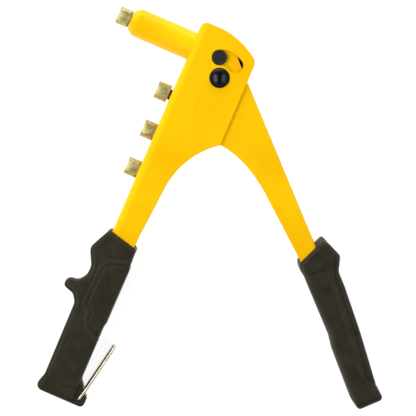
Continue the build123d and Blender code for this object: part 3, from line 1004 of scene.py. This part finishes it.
leverGripShape = {
    "voxel": 0.46,
    "pocketX": (1.4, 13.6),
    "pocketZ": 8.0,
    "pocketEnd": -197,
    "mouth": {"rim": ((-1.6, -123.4), (20.0, -112.0)), "reach": 7, "fullAt": 6, "near": 1.6, "far": 0.9},
    "ridge": {
        "width": 1.1,
        "depth": 0.45,
        "grooveShade": 0.75,
        "lowest": 2,
        "points": [
            (21.4, -125.5),
            (20.2, -129.5),
            (17.0, -137.0),
            (16.7, -144.0),
            (14.6, -173.0),
            (11.2, -203.0),
            (9.6, -212.0),
        ],
    },
    "bulge": {
        "width": 3.0,
        "depth": -0.35,
        "ridgeHighlight": 0.14,
        "lowest": 2,
        "points": [(15.0, -134.0), (14.6, -146.0), (12.5, -173.0), (9.4, -199.0)],
    },
    "edgeLine": {
        "width": 0.85,
        "depth": -0.2,
        "ridgeHighlight": 0.9,
        "lowest": 4,
        "points": [
            (0.6, -121.0),
            (1.2, -129.0),
            (1.0, -167.0),
            (-0.3, -175.0),
            (-1.4, -202.0),
            (-0.9, -212.5),
        ],
    },
    "crossLine": {
        "width": 0.9,
        "depth": 0.22,
        "grooveShade": 0.5,
        "lowest": 2,
        "points": [(-3.0, -129.2), (22.0, -129.8)],
    },
    "crack": {
        "width": 0.8,
        "depth": 0.35,
        "grooveShade": 0.9,
        "lowest": 2,
        "points": [(14.6, -205.6), (11.4, -199.5), (10.6, -188.0)],
    },
    "collar": {
        "width": 0.8,
        "depth": -0.12,
        "ridgeHighlight": 0.35,
        "points": [(-3.0, -122.2), (6.0, -119.6), (13.0, -116.6), (22.0, -114.2)],
    },
}


def makeLeverGrip():
    shape, place = leverGripShape, handleSpace(leverTurn)
    bm, tones = sleeveOf("lever_grip", place, shape["voxel"])

    def inPocket(co):
        left, right = shape["pocketX"]
        return left < co.x < right and abs(co.z) < shape["pocketZ"] and co.y > shape["pocketEnd"]

    skin = [vert for vert in bm.verts if not inPocket(vert.co)]
    for line in ("ridge", "bulge"):
        cutGroove(skin, tones, shape[line])
    bm.normal_update()
    for line in ("edgeLine", "crossLine", "crack", "collar"):
        cutGroove(skin, tones, shape[line])
    tiltMouth(bm, shape["mouth"])
    bmesh.ops.transform(bm, matrix=place, verts=bm.verts)
    addPiece(
        bm, "leverGripMolded", [gripPlastic], "lever", "lever_grip", sharpAngle=60
    )


makeFixedGrip()
makeLeverGrip()


latchShape = {
    "tilt": 10.8,
    "length": 37.9,
    "wireRadius": 0.9,
    "leg": 11.9,
    "tip": 8.4,
    "runStart": 6.0,
    "runEnd": 3.0,
    "bend": 2.0,
    "endBend": 1.2,
    "eyeBend": 1.1,
    "nearJog": -1.8,
    "farJog": 1.2,
}


# The corners of a path rounded by arcs of the given radii.
def roundedPath(points, radii, steps=8):
    path = [points[0]]
    for before, corner, after, radius in zip(points, points[1:], points[2:], radii):
        back = (before - corner).normalized()
        onward = (after - corner).normalized()
        half = back.angle(onward) / 2
        center = corner + (back + onward).normalized() * (radius / sin(half))
        start = corner + back * (radius / tan(half))
        stop = corner + onward * (radius / tan(half))
        for step in range(steps + 1):
            share = step / steps
            path.append(center + (start - center).slerp(stop - center, share))
    return path + [points[-1]]


def makeLatch():
    shape = latchShape
    along = Vector((sin(radians(shape["tilt"])), cos(radians(shape["tilt"])), 0))
    beside = Vector((-along.y, along.x, 0))
    up = Vector((0, 0, 1))

    def placeOn(reach, jog, height):
        return latchEye + along * reach + beside * jog + up * height

    end, leg, tip = shape["length"], shape["leg"], shape["tip"]
    start, stop = shape["runStart"], end - shape["runEnd"]
    near, far = shape["nearJog"], shape["farJog"]
    points = [
        placeOn(0, 0, tip),
        placeOn(0, 0, leg),
        placeOn(start, near, leg),
        placeOn(stop, near, leg),
        placeOn(end, 0, leg),
        placeOn(end, 0, -leg),
        placeOn(stop, far, -leg),
        placeOn(start, far, -leg),
        placeOn(0, 0, -leg),
        placeOn(0, 0, -tip),
    ]
    bends = [shape[key] for key in ("eyeBend", "bend", "bend", "endBend")]
    path = roundedPath(points, bends + bends[::-1])
    curve = bpy.data.curves.new("latchPath", "CURVE")
    curve.dimensions = "3D"
    curve.bevel_depth = shape["wireRadius"]
    curve.bevel_resolution = 6
    curve.use_fill_caps = True
    spline = curve.splines.new("POLY")
    spline.points.add(len(path) - 1)
    for point, place in zip(spline.points, path):
        point.co = (*place, 1)
    rough = bpy.data.objects.new("latchPath", curve)
    bpy.context.scene.collection.objects.link(rough)
    view = bpy.context.evaluated_depsgraph_get()
    wire = bpy.data.meshes.new_from_object(rough.evaluated_get(view))
    bpy.data.objects.remove(rough)
    bm = bmesh.new()
    bm.from_mesh(wire)
    bmesh.ops.remove_doubles(bm, verts=bm.verts, dist=0.001)
    addPiece(bm, "wireLatchBent", [brightWire], "latch", "wire_latch", sharpAngle=50)


makeLatch()


# The working parts inside keep their CAD shape.
innerFinishes = {
    "barrel_nut": turnedSteel,
    "pivot_spacer": turnedSteel,
    "pull_head": turnedSteel,
    "jaw_case": turnedSteel,
    "jaw_pusher": hardSteel,
    "jaw_1": hardSteel,
    "jaw_2": hardSteel,
    "jaw_3": hardSteel,
}
for node, finish in innerFinishes.items():
    mesh = nodes[node].data
    mesh.materials.clear()
    mesh.materials.append(finish)
print("inner parts finished")


# How far in from each end of a spring its end places are taken.
springEnds = {"return_spring": 1.2, "jaw_spring": 0.7}


# A spring stays one piece on no body, baked where it stands; the places of its two ends are worked out but
# not used.
def makeSpring(name, node, axis):
    start = Vector((pivot.x, pivot.y, 0)) if axis == 2 else Vector((0, 0, 0))
    end = start.copy()
    start[axis] = lowOf(node)[axis] + springEnds[node]
    end[axis] = highOf(node)[axis] - springEnds[node]
    bm = copyOfNode(node, flatten=False)
    spring = addPiece(bm, name, [springSteel], None, node, sharpAngle=40)
    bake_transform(spring)


makeSpring("returnSpringWound", "return_spring", 2)
makeSpring("jawSpringWound", "jaw_spring", 0)


stageValues = {
    "floorSize": 6.0,
    "floorGap": 0.0004,
    "floorColor": (0.5, 0.5, 0.5),
    "floorGlow": 0.78,
    "skyTop": 0.04,
    "skyRim": 0.55,
    "skyFade": (0.35, 0.9),
    "cameraHeight": 2.4,
    "viewWidth": 0.2496,
    "centerX": 0.0952,
    "centerY": -0.0854,
    "right": (0.918, 0.3955, 0),  # the way that is level in the camera's view
}
lightBoxes = {
    "keyBox": {"right": -0.2, "up": 1.1, "height": 0.16, "size": (1.5, 0.3), "power": 9.0},
    "leftBox": {"right": -0.66, "up": 0, "height": 1.0, "size": (1.3, 0.6), "power": 9.4},
    "rightBox": {"right": 0.66, "up": 0, "height": 1.0, "size": (1.3, 0.6), "power": 5.6},
}


def viewAxes():
    right = Vector(stageValues["right"]).normalized()
    return right, Vector((-right.y, right.x, 0))


def makeStage():
    values = stageValues
    bm = bmesh.new()
    bmesh.ops.create_grid(bm, x_segments=1, y_segments=1, size=values["floorSize"] / 2)
    low = cadBox[0][2] - values["floorGap"]
    bmesh.ops.translate(bm, vec=(values["centerX"], values["centerY"], low), verts=bm.verts)
    mesh = bpy.data.meshes.new("floor")
    bm.to_mesh(mesh)
    bm.free()
    floor = bpy.data.objects.new("floor", mesh)
    material, shader = newMaterial("palePaper", values["floorColor"], 0.9, specular=0.1)
    shader.inputs["Emission Color"].default_value = (1, 1, 1, 1)
    shader.inputs["Emission Strength"].default_value = values["floorGlow"]
    mesh.materials.append(material)
    bpy.context.scene.collection.objects.link(floor)


def addSoftbox(name, place, target):
    values = lightBoxes[name]
    light = bpy.data.lights.new(name, "AREA")
    light.shape = "RECTANGLE"
    light.size, light.size_y = values["size"]
    light.energy = values["power"]
    lamp = bpy.data.objects.new(name, light)
    lamp.location = place
    lamp.rotation_mode = "QUATERNION"
    lamp.rotation_quaternion = (target - place).to_track_quat("-Z", "Y")
    bpy.context.scene.collection.objects.link(lamp)


# A room that is bright round the rim and dark overhead, so that black gloss stays black.
def makeWorld():
    values = stageValues
    world = bpy.data.worlds.new("studio")
    world.use_nodes = True
    tree = world.node_tree
    background = tree.nodes["Background"]
    background.inputs["Color"].default_value = (1, 1, 1, 1)
    place = tree.nodes.new("ShaderNodeTexCoord")
    parts = tree.nodes.new("ShaderNodeSeparateXYZ")
    fade = tree.nodes.new("ShaderNodeMapRange")
    fade.interpolation_type = "SMOOTHSTEP"
    fade.inputs["From Min"].default_value, fade.inputs["From Max"].default_value = values["skyFade"]
    fade.inputs["To Min"].default_value = values["skyRim"]
    fade.inputs["To Max"].default_value = values["skyTop"]
    tree.links.new(place.outputs["Generated"], parts.inputs["Vector"])
    tree.links.new(parts.outputs["Z"], fade.inputs["Value"])
    tree.links.new(fade.outputs["Result"], background.inputs["Strength"])
    bpy.context.scene.world = world


def makeLights():
    right, upward = viewAxes()
    center = Vector((stageValues["centerX"], stageValues["centerY"], 0))
    for name, box in lightBoxes.items():
        shift = upward * box["up"] + right * box["right"] + Vector((0, 0, box["height"]))
        addSoftbox(name, center + shift, center)


def makeCamera():
    values = stageValues
    lens = bpy.data.cameras.new("camera")
    lens.sensor_width = 36
    lens.lens = 36 * values["cameraHeight"] / values["viewWidth"]
    camera = bpy.data.objects.new("camera", lens)
    right, upward = viewAxes()
    turn = Matrix((right, upward, Vector((0, 0, 1)))).transposed()
    camera.matrix_world = (
        Matrix.Translation((values["centerX"], values["centerY"], values["cameraHeight"]))
        @ turn.to_4x4()
    )
    bpy.context.scene.collection.objects.link(camera)
    bpy.context.scene.camera = camera


makeStage()
makeWorld()
makeLights()
makeCamera()
bpy.context.scene.view_settings.view_transform = "Standard"
print("stage, lights and camera set")
